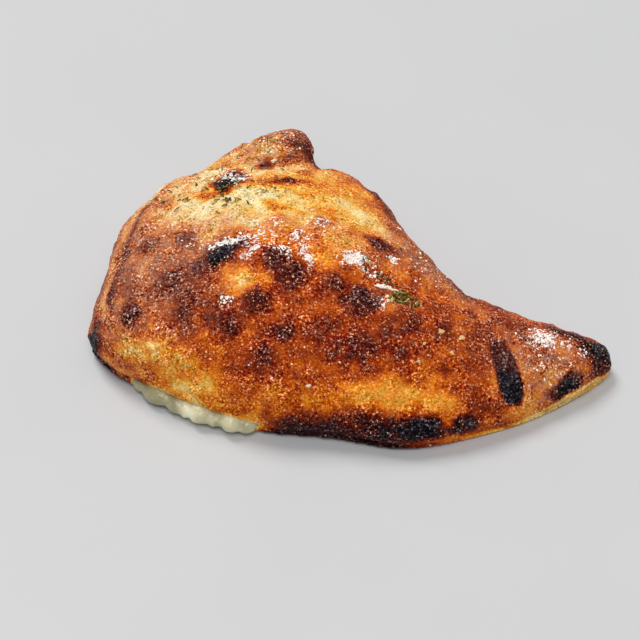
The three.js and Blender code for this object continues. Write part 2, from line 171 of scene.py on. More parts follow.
# Paler and darker areas of the bake: x, y, half length, half width, turn, change of level.
BAKE = [
    (-54, 20, 32, 15, 4, -0.34), (-54, 28, 28, 9, 4, -0.12), (-80, 22, 15, 14, 0, -0.22),
    (-22, 27, 22, 16, -8, -0.17), (-58, 52, 26, 18, 12, -0.3), (-18, 56, 20, 12, -10, -0.19),
    (-78, 46, 18, 14, 30, -0.16), (-50, 7, 18, 7, 0, -0.28), (10, 17, 18, 9, -40, -0.27),
    (-74, 30, 6, 5, 0, 0.2), (4, 38, 17, 15, -30, -0.1), (-52, -33, 10, 9, 0, -0.24),
    (-108, -50, 9, 7, -50, -0.17), (-95, -53, 13, 9, -25, -0.15), (-74, -56, 16, 10, -20, -0.06),
    (-76, -65, 20, 9, -22, -0.08), (-62, -77, 20, 6, -20, -0.05), (-40, -80, 14, 6, -8, -0.06),
    (4, -79, 14, 6, 0, -0.18), (42, -80, 14, 7, 5, -0.1), (24, -76, 20, 7, 3, -0.22),
    (84, -72, 18, 6, 15, -0.1), (-5, -5, 13, 14, 0, -0.16), (-28, 3, 15, 5, -5, -0.1),
    (-20, -28, 9, 8, 0, -0.06), (-93, -14, 12, 12, 0, -0.06), (-112, -6, 7, 30, 0, -0.04),
    (-24, -50, 28, 18, 0, 0.06), (-45, -78, 9, 6, 0, -0.08), (32, -48, 24, 18, 0, 0.04),
    (-72, -44, 18, 12, 10, 0.08), (-74, -16, 22, 13, 10, 0.12), (90, -60, 22, 16, -15, -0.05),
    (24, 0, 14, 9, -40, 0.02), (-102, -60, 12, 4, -40, 0.1), (-8, -62, 12, 8, 0, 0.12),
    (15, -62, 12, 7, 0, 0.2), (-41, -80, 9, 5, 0, -0.08), (-58, -24, 8, 6, 0, -0.12),
    (-45, -55, 9, 14, 0, 0.06), (-30, 82, 16, 12, 8, -0.1), (-16, 80, 7, 14, 0, 0.18),
    (-60, 70, 22, 10, 14, -0.26), (-42, 56, 20, 10, 10, -0.12), (-9, 10, 8, 6, 0, -0.14),
    (42, -70, 10, 6, 0, 0.06), (63, -50, 13, 16, 0, 0.08), (-4, 24, 20, 34, -20, -0.09),
    (-34, 5, 9, 5, 0, 0.09), (-106, 25, 6, 8, 0, 0.09), (-76, -18, 8, 6, 0, 0.09),
    (-48, -50, 12, 8, 0, 0.1), (-62, -42, 8, 6, 0, 0.08), (-80, -49, 13, 6, -10, 0.11),
    (-55, -68, 9, 7, 0, 0.14), (-38, -73, 8, 5, 0, 0.08), (-78, -66, 12, 5, -25, -0.16),
    (-69, -72, 8, 4, -20, -0.08), (-16, -77, 5, 5, 0, -0.16), (82, -70, 8, 5, 15, -0.14),
    (104, -60, 8, 5, 30, -0.12), (40, -77, 12, 7, 0, 0.09), (64, -35, 8, 6, 0, 0.09),
]
BAKE_LEVEL = 0.555
FRONT_LEAST = 0.35  # lowest level of the bake along the sealed side
# The two below darken the bake at the foot: partly a browner bake, partly painted shade on the downward
# wall and where the contact shadow falls.
FRONT_SHADE_AND_BROWN, FOOT_SHADE_AND_BROWN = 0.5, 0.4  # added at the foot of that side, and along the very bottom
EDGE_BROWN, FOLD_BROWN, RIM_PALE = 0.26, 0.42, 0.06  # changes on the rolled rim
CRINKLE_PALE, WRINKLE_BROWN = 0.26, 0.22  # on the crinkles' crests, and on the curled corner
STRIP_BAKE, LIP_BAKE = 0.2, 0.12  # of the strip under the tail, and of the dough over the cheese
WARP = 3.2  # how far the noise moves the edges of spots and areas
CLUMPING = -0.1  # level of the noise over which scattered bits are kept
SPOT_SPREAD, SPOT_SHARE = 0.62, 0.985  # width of a scattered patch, and how much of its tail is kept
SINK = 0.25  # share of a bit's height that lies in the crust
FILM_COUNT = 11  # bits per half length by half width that make a film of flour
CRUMB_COUNT = 3600
# Dull, flour-dusted areas: x, y, half length, half width, turn, strength.
DUSTY = [
    (-70, -8, 18, 9, 12, 0.7), (92, -56, 28, 18, -15, 1), (-113, -4, 9, 38, 4, 0.9),
    (-40, 76, 34, 16, 12, 0.9), (-86, 44, 28, 11, 28, 0.7), (30, 6, 12, 30, 35, 0.7),
    (-30, 6, 34, 7, -4, 0.7), (-72, 5, 22, 8, 10, 0.7), (5, -10, 18, 9, -20, 0.5),
    (-90, 18, 18, 22, 0, 0.7), (-28, 62, 24, 7, -6, 0.4), (-80, -34, 28, 18, 10, 0.45),
    (20, -36, 14, 8, 0, 0.4), (40, -8, 30, 6, -38, 0.6), (-98, -12, 20, 26, 0, 0.9),
]
# Flour and grated cheese: x, y, half length, half width, turn, count.
FLOUR = [
    (-57, 46, 9, 9, 10, 420), (-58, -7, 11, 3.2, 22, 260), (-50, -17, 4, 3, 0, 80),
    (-24, -4, 6, 5, 0, 130), (-21, -14, 3.4, 10, 14, 200), (1, -15, 6, 6, 0, 330),
    (8, -20, 8, 6, -30, 170), (20, -10, 3.2, 3, 0, 60), (15, -28, 8, 1.5, -3, 80),
    (92, -43, 15, 8, -12, 420), (106, -47, 10, 7, -20, 110), (-58, -39, 4, 3, 0, 40),
    (-12, 7, 8, 4, 0, 110), (-44, -2, 12, 5, 0, 150), (-46, -11, 5, 5, 0, 110),
    (-40, 76, 26, 12, 8, 110), (-66, 50, 34, 12, 14, 260), (-20, 18, 3, 2, 0, 20),
    (14, -40, 5, 5, 0, 60), (-30, 6, 26, 6, -4, 180), (36, 0, 18, 24, 30, 160),
    (-33, -12, 10, 6, -40, 160), (-70, -4, 18, 7, 10, 120), (94, -56, 14, 8, 0, 90),
]
# Dried herb: x, y, half length, half width, turn, count.
HERBS = [
    (25, -33, 8, 5, -10, 130), (18, -24, 5, 4, 0, 22), (-61, 22, 8, 3, 0, 16),
    (-56, 34, 40, 20, 8, 170), (-46, 74, 18, 12, 8, 46), (-88, 34, 22, 16, 40, 36),
    (9, -17, 8, 6, 0, 14), (-114, 20, 5, 30, 10, 16), (20, 20, 60, 40, -35, 24),
    (-62, 60, 16, 12, 8, 26),
]

# Flakes of dried onion and slivers of cheese: x, y, half length, width and height, turn, tone.
ONION = [
    (42, -50, 1.7, 1.5, 0.35, 0, 0.3), (52, -51, 2, 1.2, 0.4, 20, 0.4),
    (14.5, -28.5, 3.4, 0.9, 0.5, -2, 1), (20, -29, 2.4, 0.8, 0.5, -10, 0.9),
    (17, -33.5, 1.2, 0.8, 0.5, 80, 0.8), (17.5, -36, 1.3, 0.9, 0.5, 60, 0.7),
    (34, -58, 1.2, 0.8, 0.4, 40, 0.4), (47, -60, 1.3, 0.9, 0.35, -30, 0.3),
    (24, 18, 0.9, 1.9, 0.5, 5, 1), (-38, 66, 1.3, 0.8, 0.4, 30, 0.8),
    (31, -66, 1.1, 0.7, 0.35, 10, 0.3), (-43, 44, 1.2, 0.7, 0.4, 70, 0.7),
    (-20, -76, 1.3, 0.6, 0.35, 10, 0.8), (-37, -74, 1, 0.6, 0.3, 40, 0.9),
]

# ---- small helpers


def srgb(red, green, blue):
    """A display colour of 0 to 255 as linear RGBA."""
    channels = [value / 255 for value in (red, green, blue)]
    linear = [c / 12.92 if c <= 0.04045 else ((c + 0.055) / 1.055) ** 2.4 for c in channels]
    return (*linear, 1.0)


def smoothstep(low, high, value):
    share = np.clip((value - low) / (high - low), 0, 1)
    return share * share * (3 - 2 * share)


def bump(value):
    return np.exp(-value * value)


def blended(value, other, share):
    return value * (1 - share) + share * other


def value_noise(points, size, seed):
    """Smooth noise of -1 to 1 with features of about that size."""
    place = points / size + seed * 17.31
    cell = np.floor(place).astype(np.int64)
    part = place - cell
    part = part * part * (3 - 2 * part)
    total = np.zeros(len(points))
    for corner in np.ndindex(2, 2, 2):
        x, y, z = (cell + corner).T
        key = (x * 73856093) ^ (y * 19349663) ^ (z * 83492791) ^ (seed * 2654435761)
        key = ((key ^ (key >> 13)) * 1274126177) & 0x7FFFFFFF
        key = ((key ^ (key >> 16)) * 69069) & 0x7FFFFFFF
        weight = np.prod(np.where(corner, part, 1 - part), axis=1)
        total += weight * (key / 0x3FFFFFFF - 1)
    return total


def fractal(points, size, octaves, seed):
    """Noise summed over octaves, each half as large and half as high."""
    layers = [value_noise(points, size / 2**i, seed + i) / 2**i for i in range(octaves)]
    return np.sum(layers, axis=0)


def turned(points, x, y, turn):
    """Distances in plan along and across a direction, from a place."""
    angle = math.radians(turn)
    dx, dy = points[:, 0] - x, points[:, 1] - y
    along = dx * math.cos(angle) + dy * math.sin(angle)
    return along, dy * math.cos(angle) - dx * math.sin(angle)


def reach(points, x, y, half_length, half_width, turn):
    """Distance from a turned ellipse's centre in plan, 1 on its edge."""
    along, across = turned(points, x, y, turn)
    return np.hypot(along / half_length, across / half_width)


def areas(points, rows):
    """Sum of soft ellipses: x, y, half length, half width, turn, height in the middle."""
    return sum(row[5] * bump(reach(points, *row[:5])) for row in rows)


def unit(vectors):
    return vectors / np.linalg.norm(vectors, axis=1)[:, None]


def length_along(line):
    return np.concatenate([[0], np.cumsum(np.linalg.norm(np.diff(line, axis=0), axis=1))])


def beside_outline(points):
    """Distance in plan from the crust's outline, and the distance along it."""
    line = curve(CRUST["outline"], np.linspace(0, 1, 500), closed=True)[:, :2]
    length = length_along(line)
    near = np.full(len(points), np.inf)
    along = np.zeros(len(points))
    for (x, y), way in zip(line, length):
        gap = (points[:, 0] - x) ** 2 + (points[:, 1] - y) ** 2
        along = np.where(gap < near, way, along)
        near = np.minimum(near, gap)
    return np.sqrt(near), along


# ---- meshes


def add_object(name, data):
    made = bpy.data.objects.new(name, data)
    bpy.context.scene.collection.objects.link(made)
    return made


def make_object(name, points, faces):
    mesh = bpy.data.meshes.new(name)
    mesh.from_pydata(np.asarray(points).tolist(), [], np.asarray(faces).tolist())
    mesh.update()
    return add_object(name, mesh)


def read_vectors(rows, field):
    flat = np.empty(len(rows) * 3)
    rows.foreach_get(field, flat)
    return flat.reshape(-1, 3)


def read_points(piece):
    return read_vectors(piece.data.vertices, "co")


def read_normals(piece):
    return read_vectors(piece.data.vertex_normals, "vector")


def write_points(piece, points):
    piece.data.vertices.foreach_set("co", points.ravel())
    piece.data.update()


def weld(piece):
    """Joins the points that lie in one place."""
    shape = bmesh.new()
    shape.from_mesh(piece.data)
    bmesh.ops.remove_doubles(shape, verts=shape.verts, dist=1e-4)
    shape.to_mesh(piece.data)
    shape.free()
    piece.data.update()


def apply_modifier(piece, kind, **settings):
    modifier = piece.modifiers.new(kind.lower(), kind)
    for key, value in settings.items():
        setattr(modifier, key, value)
    with bpy.context.temp_override(object=piece, active_object=piece):
        bpy.ops.object.modifier_apply(modifier=modifier.name)


def remesh(piece, spacing):
    apply_modifier(piece, "REMESH", mode="VOXEL", voxel_size=spacing)


def combine(piece, other, operation):
    """Joins other to the piece, or cuts it away, and removes it."""
    apply_modifier(piece, "BOOLEAN", operation=operation, solver="MANIFOLD", object=other)
    bpy.data.objects.remove(other)


def skin(name, rings):
    """A closed mesh over closed rings of points. The first and last rings fold onto themselves."""
    rows, columns = rings.shape[:2]
    index = np.arange(rows * columns).reshape(rows, columns)
    upper, lower = index[:-1], index[1:]
    turn = (np.arange(columns) + 1) % columns
    faces = np.stack([upper, lower, lower[:, turn], upper[:, turn]], axis=-1).reshape(-1, 4)
    piece = make_object(name, rings.reshape(-1, 3), faces)
    weld(piece)
    return piece


def shade(piece, material, smooth=True):
    piece.data.materials.clear()
    piece.data.materials.append(material)
    piece.data.polygons.foreach_set("use_smooth", [smooth] * len(piece.data.polygons))


def finish_piece(piece, material, smooth=True):
    """Scales a piece to metres, sets its shading and gives it its material."""
    piece.data.transform(Matrix.Scale(MM, 4))
    shade(piece, material, smooth)
    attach(piece, "root")


# ---- the domed form


def curve(rows, shares, closed=False):
    """Points of a uniform Catmull-Rom curve at shares of its parameter."""
    knots = np.asarray(rows, float)
    count = len(knots)
    if closed:
        place = (np.asarray(shares) % 1.0) * count
        first = np.floor(place).astype(int)
        four = [knots[(first + step) % count] for step in (-1, 0, 1, 2)]
    else:
        place = np.clip(shares, 0, 1) * (count - 1)
        first = np.minimum(np.floor(place).astype(int), count - 2)
        longer = np.vstack([2 * knots[0] - knots[1], knots, 2 * knots[-1] - knots[-2]])
        four = [longer[first + step] for step in (0, 1, 2, 3)]
    return blend_four(four, (place - first)[:, None])


def blend_four(four, share):
    before, start, end, after = four
    return 0.5 * (
        2 * start
        + (end - before) * share
        + (2 * before - 5 * start + 4 * end - after) * share**2
        + (3 * start - before - 3 * end + after) * share**3
    )


def evenly(points_at, count):
    """count + 1 points, evenly spaced by length, of a curve given by points_at(shares)."""
    shares = np.linspace(0, 1, 2001)
    line = points_at(shares)
    length = length_along(line)
    return points_at(np.interp(np.linspace(0, length[-1], count + 1), length, shares))


def seal_offset(share, far, level):
    """How far the wall stands in at a share of the way down to the table."""
    folded = smoothstep(FOLD_START, FOLD_START + FOLD_BLEND, share)
    folded *= 1 - smoothstep(FOLD_END - FOLD_BLEND, FOLD_END, share)
    groove = SEAM_DEPTH * bump((level - SEAM_LEVEL) / SEAM_WIDTH)
    bead = BEAD_PROUD * bump((level - BEAD_LEVEL) / BEAD_WIDTH)
    return np.where(far, 1 - folded, 1) * (groove - bead)


def dome(form, sealed=False, grow=0.0):
    """Rings from the spine over the widest line and down the wall to the middle of the base."""
    count = form["stations"]
    tip_share = form["tip"] / len(form["outline"])
    near = evenly(lambda t: curve(form["outline"], t * tip_share, closed=True), count)
    back = evenly(lambda t: curve(form["outline"], t * (tip_share - 1), closed=True), count)
    spine = evenly(lambda t: curve(form["spine"], t), count)
    edge = np.vstack([near, back[-2:0:-1]])
    ridge = np.vstack([spine, spine[-2:0:-1]])
    step = np.arange(2 * count)
    far = step > count
    share = np.where(far, 2 * count - step, step) / count
    across = edge[:, :2] - ridge[:, :2]
    length = np.linalg.norm(across, axis=1)
    bottom = form["floor"] - grow
    drawn_in = UNDERCUT * (edge[:, 2] - form["floor"])

    def ring(out, inset, height):
        scale = out * (length + grow - inset) / length
        return np.column_stack([ridge[:, :2] + across * scale[:, None], height])

    rings = []
    for angle in np.linspace(0, math.pi / 2, form["top"] + 1):
        rise = max(math.cos(angle), 0) ** CROWN if angle < math.pi / 2 else 0
        rings.append(ring(math.sin(angle), 0, edge[:, 2] + (ridge[:, 2] + grow - edge[:, 2]) * rise))
    for angle in np.linspace(0, math.pi / 2, form["wall"] + 1)[1:]:
        level = math.sin(angle)
        offset = seal_offset(share, far, level) if sealed and level < 1 else 0
        inset = drawn_in * (1 - math.cos(angle)) + offset
        rings.append(ring(1, inset, edge[:, 2] + (bottom - edge[:, 2]) * level))
    rings.append(ring(0, drawn_in, np.full(2 * count, bottom)))
    return np.array(rings)


def neighbour_means(points, pairs):
    """The mean of each point's neighbours along edges given as pairs of indices."""
    ends = np.concatenate([pairs, pairs[:, ::-1]])
    count = np.maximum(np.bincount(ends[:, 0], minlength=len(points)), 1)
    sums = [np.bincount(ends[:, 0], points[ends[:, 1], axis], len(points)) for axis in range(3)]
    return np.column_stack(sums) / count[:, None]


def relax(rings):
    """Evens out the upper side, as the part's source does."""
    rows, columns = rings.shape[:2]
    index = np.arange(rows * columns).reshape(rows, columns)
    mirror = -np.arange(columns) % columns
    for row in (0, -1):
        index[row] = np.minimum(index[row], index[row][mirror])
    right = (np.arange(columns) + 1) % columns
    upper, lower = index[:-1], index[1:]
    sides = [lower, lower[:, right], upper[:, right], lower[:, right]]
    starts = [upper, lower, upper, upper]
    pairs = np.stack([np.ravel(starts), np.ravel(sides)], axis=1)
    pairs = np.sort(pairs, axis=1)
    pairs = np.unique(pairs[pairs[:, 0] != pairs[:, 1]], axis=0)
    points = rings.reshape(-1, 3).copy()
    for _ in range(SMOOTH_ROUNDS):
        middle = neighbour_means(points, pairs)
        moving = points[:, 2] >= SMOOTH_ABOVE
        points[moving] = (points[moving] + middle[moving]) / 2
    return points[index]


def refine(rings):
    """The same form with FINER steps for each step, all but the flat base."""
    columns = rings.shape[1]
    shares = np.arange(FINER) / FINER
    four = [np.roll(rings, shift, axis=1)[:, :, None] for shift in (1, 0, -1, -2)]
    wide = blend_four(four, shares[None, None, :, None])
    wide = wide.reshape(len(rings), columns * FINER, 3)
    body, base = wide[:-1], wide[-1:]
    mirror = -np.arange(columns * FINER) % (columns * FINER)
    padded = np.concatenate([body[1:2, mirror], body, 2 * body[-1:] - body[-2:-1]])
    last = len(body) - 1
    four = [padded[step : step + last, None] for step in (0, 1, 2, 3)]
    tall = blend_four(four, shares[None, :, None, None]).reshape(last * FINER, -1, 3)
    return np.concatenate([tall, body[-1:], base])


def lobe():
    """The curled corner: an elliptical section carried along its own curve."""
    shares = np.linspace(0, 1, LOBE_STATIONS + 1)
    path = curve(LOBE, shares)
    centre, size = path[:, :3], path[:, 3:]
    tangent = unit(np.gradient(centre, axis=0))
    side = unit(np.cross(tangent, (0, 0, 1)))
    up = np.cross(side, tangent)
    angle = np.linspace(0, 2 * math.pi, LOBE_ROUND, endpoint=False)[None, :, None]
    rings = (
        centre[:, None]
        + side[:, None] * size[:, None, :1] * np.cos(angle)
        + up[:, None] * size[:, None, 1:] * np.sin(angle)
    )
    caps = [np.repeat(centre[end, None], LOBE_ROUND, axis=0)[None] for end in (0, -1)]
    return np.concatenate([caps[0], rings, caps[1]])


# ---- crust


def vent_mask(points):
    """1 inside the burnt slot, with a crisp edge."""
    x, y, half_length, half_width, turn = VENT
    along, across = turned(points, x, y, turn)
    along = along / half_length
    across = across / (half_width * (1 + VENT_TAPER * along))
    away = (along**4 + across**4) ** 0.25 + 0.04 * value_noise(points, 2.5, 31)
    return 1 - smoothstep(0.9, 1.12, away)


def rolled_rim(points):
    """Folds along the rim round the thick end, its mask, and a line of 1 just inside its edge."""
    x, y, _ = points.T
    inside, along = beside_outline(points)
    end = 1 - smoothstep(-104, -84, x)
    end = np.maximum(end, smoothstep(38, 52, y) * (1 - smoothstep(-70, -50, x)))
    end *= smoothstep(-40, -26, y)
    width = RIM_WIDTH + 3 * value_noise(points, 25, 52)
    rim = end * (1 - smoothstep(width - RIM_FADE, width + RIM_FADE, inside))
    folds = fractal(np.column_stack([inside, along / 9, 0 * along]), 3.6, 3, 57)
    groove = end * bump((inside - width) / LINE_WIDTH)
    edge = end * bump((inside - EDGE_IN) / LINE_WIDTH)
    return folds * rim - 0.5 * groove, rim, edge


def crinkles(points):
    """Fine sharp ridges where the dough has shrunk, 0 to 1 on their crests."""
    crest = 1 - np.minimum(np.abs(fractal(points, 7, 2, 71)) / 0.16, 1)
    return crest**2 * np.minimum(areas(points, CRINKLED) + 0.25, 1)


def relief(points, upward):
    """Height of blisters, waves and grain over the plain form."""
    x, y, _ = points.T
    height = areas(points, BLISTERS)
    height += WAVE_HEIGHT * sum(np.sin(kx * x + ky * y + phase) for kx, ky, phase in WAVES)
    height -= VENT_DEPTH * vent_mask(points)
    height += 0.85 * fractal(points, 15, 3, 3)
    height -= 0.45 * np.abs(fractal(points, 6, 3, 9))
    height += CRINKLE_HEIGHT * crinkles(points)
    return height * upward


def small_blisters(points):
    """Many low bumps of different sizes over the whole upper side."""
    height = np.zeros(len(points))
    for _ in range(SMALL_BLISTERS):
        x, y = rng.uniform(-125, 125), rng.uniform(-90, 92)
        radius = rng.uniform(1.4, 4.5)
        row = (x, y, radius, radius * rng.uniform(0.6, 1), rng.uniform(0, 180))
        height += rng.uniform(0.15, 0.55) * bump(reach(points, *row))
    return height


def crust_form():
    """The dough's fine mesh, and the curled corner's surface for later measuring."""
    body = skin("crust_dough", refine(relax(dome(CRUST, sealed=True))))
    corner = skin("corner", lobe())
    body_tree, corner_tree = tree_of(body), tree_of(corner)
    combine(body, corner, "UNION")
    remesh(body, CRUST_MESH)
    soften_seam(body, body_tree, corner_tree)
    remesh(body, CRUST_MESH)
    points, normals = read_points(body), read_normals(body)
    upward = smoothstep(0, 0.5, normals[:, 2])
    off_table = smoothstep(1.0, 4.0, points[:, 2])
    curled = on_corner(points, corner_tree)
    height = relief(points, upward) * (1 - curled) + upward * small_blisters(points)
    height += rolled_rim(points)[0] * (1 - curled)
    height += off_table * (0.35 * fractal(points, 5, 3, 5) + 0.5 * fractal(points, 12, 2, 25))
    height -= curled * 0.9 * wrinkles(points)
    points += normals * height[:, None]
    points[:, 2] = np.maximum(points[:, 2], 0)
    write_points(body, points)
    return body, corner_tree


def tree_of(piece):
    faces = [face.vertices[:] for face in piece.data.polygons]
    return BVHTree.FromPolygons(read_points(piece).tolist(), faces)


def gap_to(tree, points, chosen):
    """Distance to a surface at the chosen points, and a very large one elsewhere."""
    gap = np.full(len(points), 1e6)
    for index in np.flatnonzero(chosen):
        gap[index] = tree.find_nearest(Vector(points[index]))[3]
    return gap


def wrinkles(points):
    """Wrinkles that run along the curled corner, 0 at their bottom."""
    turn, longer = 22, 3.5
    along, across = turned(points, 0, 0, turn)
    return np.abs(fractal(np.column_stack([along / longer, across, points[:, 2]]), 6, 3, 81))


def on_corner(points, corner_tree):
    """1 on the curled corner, fading out a few millimetres from it."""
    x, y, _ = points.T
    gap = gap_to(corner_tree, points, (y > 35) & (x < 5))
    return 1 - np.clip((gap - 1.5) / 3, 0, 1)


def soften_seam(piece, body_tree, corner_tree):
    """Fills the crease between the curled corner and the dough, all but at its free end."""
    points, normals = read_points(piece), read_normals(piece)
    x, y, z = points.T
    chosen = (y > 30) & (x < 0) & (z > 4)
    gap = np.maximum(gap_to(body_tree, points, chosen), gap_to(corner_tree, points, chosen))
    near = bump(gap / CREASE_REACH) * (1 - 0.97 * smoothstep(-48, -33, x))
    flat = np.empty(len(piece.data.edges) * 2, int)
    piece.data.edges.foreach_get("vertices", flat)
    edges = flat.reshape(-1, 2)
    edges = edges[(near[edges] > 0.01).any(axis=1)]
    for _ in range(CREASE_ROUNDS):
        toward = neighbour_means(points, edges) - points
        filling = np.where(np.sum(toward * normals, axis=1) > 0, 1, CREASE_SLOW)
        points = points + 0.5 * (near * filling)[:, None] * toward
    write_points(piece, points)


def curds(grow=0.0):
    """One mesh of the lumps of run-out cheese, melted into each other."""
    shape = bmesh.new()
    for x, y, half_length, radius in CURDS:
        height = radius * CURD_FLATTEN
        swollen = height + CURD_MELT
        sizes = Matrix.Diagonal((half_length + CURD_MELT, radius * CURD_STRETCH + CURD_MELT, swollen, 1))
        place = Matrix.Translation((x, y, height + CURD_LIFT)) @ Matrix.Rotation(LEAK_TURN, 4, "Z")
        bmesh.ops.create_icosphere(shape, subdivisions=4, radius=1, matrix=place @ sizes)
    mesh = bpy.data.meshes.new("curds")
    shape.to_mesh(mesh)
    shape.free()
    piece = add_object("curds", mesh)
    remesh(piece, CURD_MESHES[0])
    points = read_points(piece) + read_normals(piece) * (grow - CURD_MELT)
    folds = 0.5 * fractal(points, 7, 2, 61) + 0.15 * fractal(points, 2.4, 2, 63)
    points += read_normals(piece) * folds[:, None]
    points[:, 2] = np.maximum(points[:, 2], 0.05 - grow)
    write_points(piece, points)
    remesh(piece, CURD_MESHES[1])
    return piece


def cheese_tone_and_shade(points):
    """Painted shade, darker and greyer at the left of the gap and at the foot on the table, with one
    bright lump.
    """
    x, _, z = points.T
    tone = 0.22 + 0.34 * smoothstep(-92, -62, x)
    tone += sum(change * bump((x - middle) / width) for middle, width, change in CURD_TONES)
    # Darker at the foot on the table: painted shade.
    return tone - 0.25 * (1 - smoothstep(0.5, 3.5, z))


def beside_cheese(points, curd_tree):
    """1 on the dough beside the run-out cheese, which stays pale."""
    x, y, z = points.T
    gap = gap_to(curd_tree, points, (x < -38) & (y < -46) & (z < LIP_BELOW))
    return bump(gap / LIP_WIDTH)


def warped(points):
    """Points moved about by noise, so that what is laid out by them has uneven edges."""
    moves = [WARP * fractal(points, 11, 3, seed) for seed in (101, 111)]
    return points + np.column_stack([*moves, np.zeros(len(points))])


def shaded_front_foot(points):
    """Painted shade and a browner bake: 1 at the foot of the sealed side between the cheese and the
    tail, fading out upwards.
    """
    x, y, z = points.T
    low = 1 - smoothstep(9, 25, z + 1.5 * value_noise(points, 7, 49))
    return low * smoothstep(-50, -62, y) * (smoothstep(-46, -24, x) * (1 - smoothstep(2, 34, x)))


def shaded_bottom(points):
    """Painted shade where the crust meets the table, with a browner bake: 1 along the very bottom, less
    of it toward the tail.
    """
    x, _, z = points.T
    low = 1 - smoothstep(2.5, 6, z)
    return low * (1 - 0.6 * smoothstep(6, 26, x)) * (1 - smoothstep(36, 60, x))


def tail_strip(points):
    """1 on the pale strip along the foot of the tail, which is tallest before the tip."""
    x, y, z = points.T
    top = 2.4 + 6.2 * smoothstep(70, 108, x) - 4 * smoothstep(117, 126, x)
    top += 0.8 * value_noise(points, 9, 44)
    strip = (1 - smoothstep(-0.8, 0.8, z - top)) * smoothstep(48, 70, x)
    return strip * (1 - smoothstep(-40, -30, y))


def charring_and_shade(points, moved, normals, ragged):
    """Level of the char, with painted shade from the low rim rows: the spots on top and on the rim, and
    the burnt slot.
    """
    marked = (points + moved) / 2
    upper = smoothstep(-0.2, 0.2, normals[:, 2])
    char_and_shade = np.zeros(len(points))
    for row in CHAR:
        spot = row[5] * (1 - smoothstep(0.3, 1.4, reach(marked, *row[:5]) + ragged))
        char_and_shade = np.maximum(char_and_shade, spot * upper)
    for x, y, z, half_length, half_width, half_height, turn, strength in RIM_CHAR_AND_SHADE:
        flat = reach(marked, x, y, half_length, half_width, turn)
        away = np.hypot(flat, (points[:, 2] - z) / half_height) + ragged
        char_and_shade = np.maximum(char_and_shade, strength * (1 - smoothstep(0.45, 1.3, away)))
    slot_char = 0.98 + 0.28 * smoothstep(-58, -68, moved[:, 1])
    return blended(char_and_shade, slot_char, vent_mask(points))


def flour_film(points, ragged):
    """Level of the film of flour that lies between the scattered grains."""
    film = np.zeros(len(points))
    for row in FLOUR:
        thick = min(row[5] / (row[2] * row[3] * FILM_COUNT), 1)
        film = np.maximum(film, thick * (1 - smoothstep(0.4, 1.3, reach(points, *row[:5]) + ragged)))
    return film


def browning_and_shade(points, normals, corner_tree, curd_tree):
    """Level of the bake, with painted shade at the foot, and of the char, dust and flour at each point.
    """
    moved = warped(points)
    ragged = 0.26 * fractal(points, 6, 3, 21) + 0.12 * value_noise(points, 1.6, 27)
    curled = on_corner(points, corner_tree)
    folds, rim, edge = rolled_rim(points)
    rim = rim * (1 - curled)
    strip = tail_strip(points)
    lip = beside_cheese(points, curd_tree)

    bake_and_shade = BAKE_LEVEL + areas(moved, BAKE)
    bake_and_shade += 0.09 * fractal(points, 18, 3, 41) + 0.11 * fractal(points, 6.5, 3, 43)
    bake_and_shade += (EDGE_BROWN * edge - FOLD_BROWN * np.clip(folds, -0.8, 0.3)) * (1 - curled)
    bake_and_shade -= RIM_PALE * rim + CRINKLE_PALE * crinkles(points)
    bake_and_shade += WRINKLE_BROWN * curled * wrinkles(points)
    # The foot: painted shade together with a browner bake.
    bake_and_shade += FOOT_SHADE_AND_BROWN * shaded_bottom(points) + FRONT_SHADE_AND_BROWN * shaded_front_foot(points)
    least = smoothstep(-34, -56, points[:, 1]) * smoothstep(-78, -54, points[:, 0])
    bake_and_shade = np.maximum(bake_and_shade, FRONT_LEAST * least)
    strip_bake = STRIP_BAKE + 0.05 * value_noise(points * (0.2, 0.2, 1), 1.1, 45)
    bake_and_shade = blended(bake_and_shade, strip_bake, strip)
    bake_and_shade = blended(bake_and_shade, LIP_BAKE + 0.08 * value_noise(points, 3, 47), lip)

    char_and_shade = charring_and_shade(points, moved, normals, ragged) * (1 - strip) * (1 - lip)
    dusty = np.clip((areas(moved, DUSTY) + 0.85 * rim) * (1 - strip), 0, 1)
    return {"bake_and_shade": bake_and_shade, "char_and_shade": char_and_shade, "dusty": dusty, "flour": flour_film(points, ragged)}


def set_attributes(piece, values):
    for name, numbers in values.items():
        layer = piece.data.attributes.new(name, "FLOAT", "POINT")
        layer.data.foreach_set("value", np.asarray(numbers, np.float32))


# ---- materials


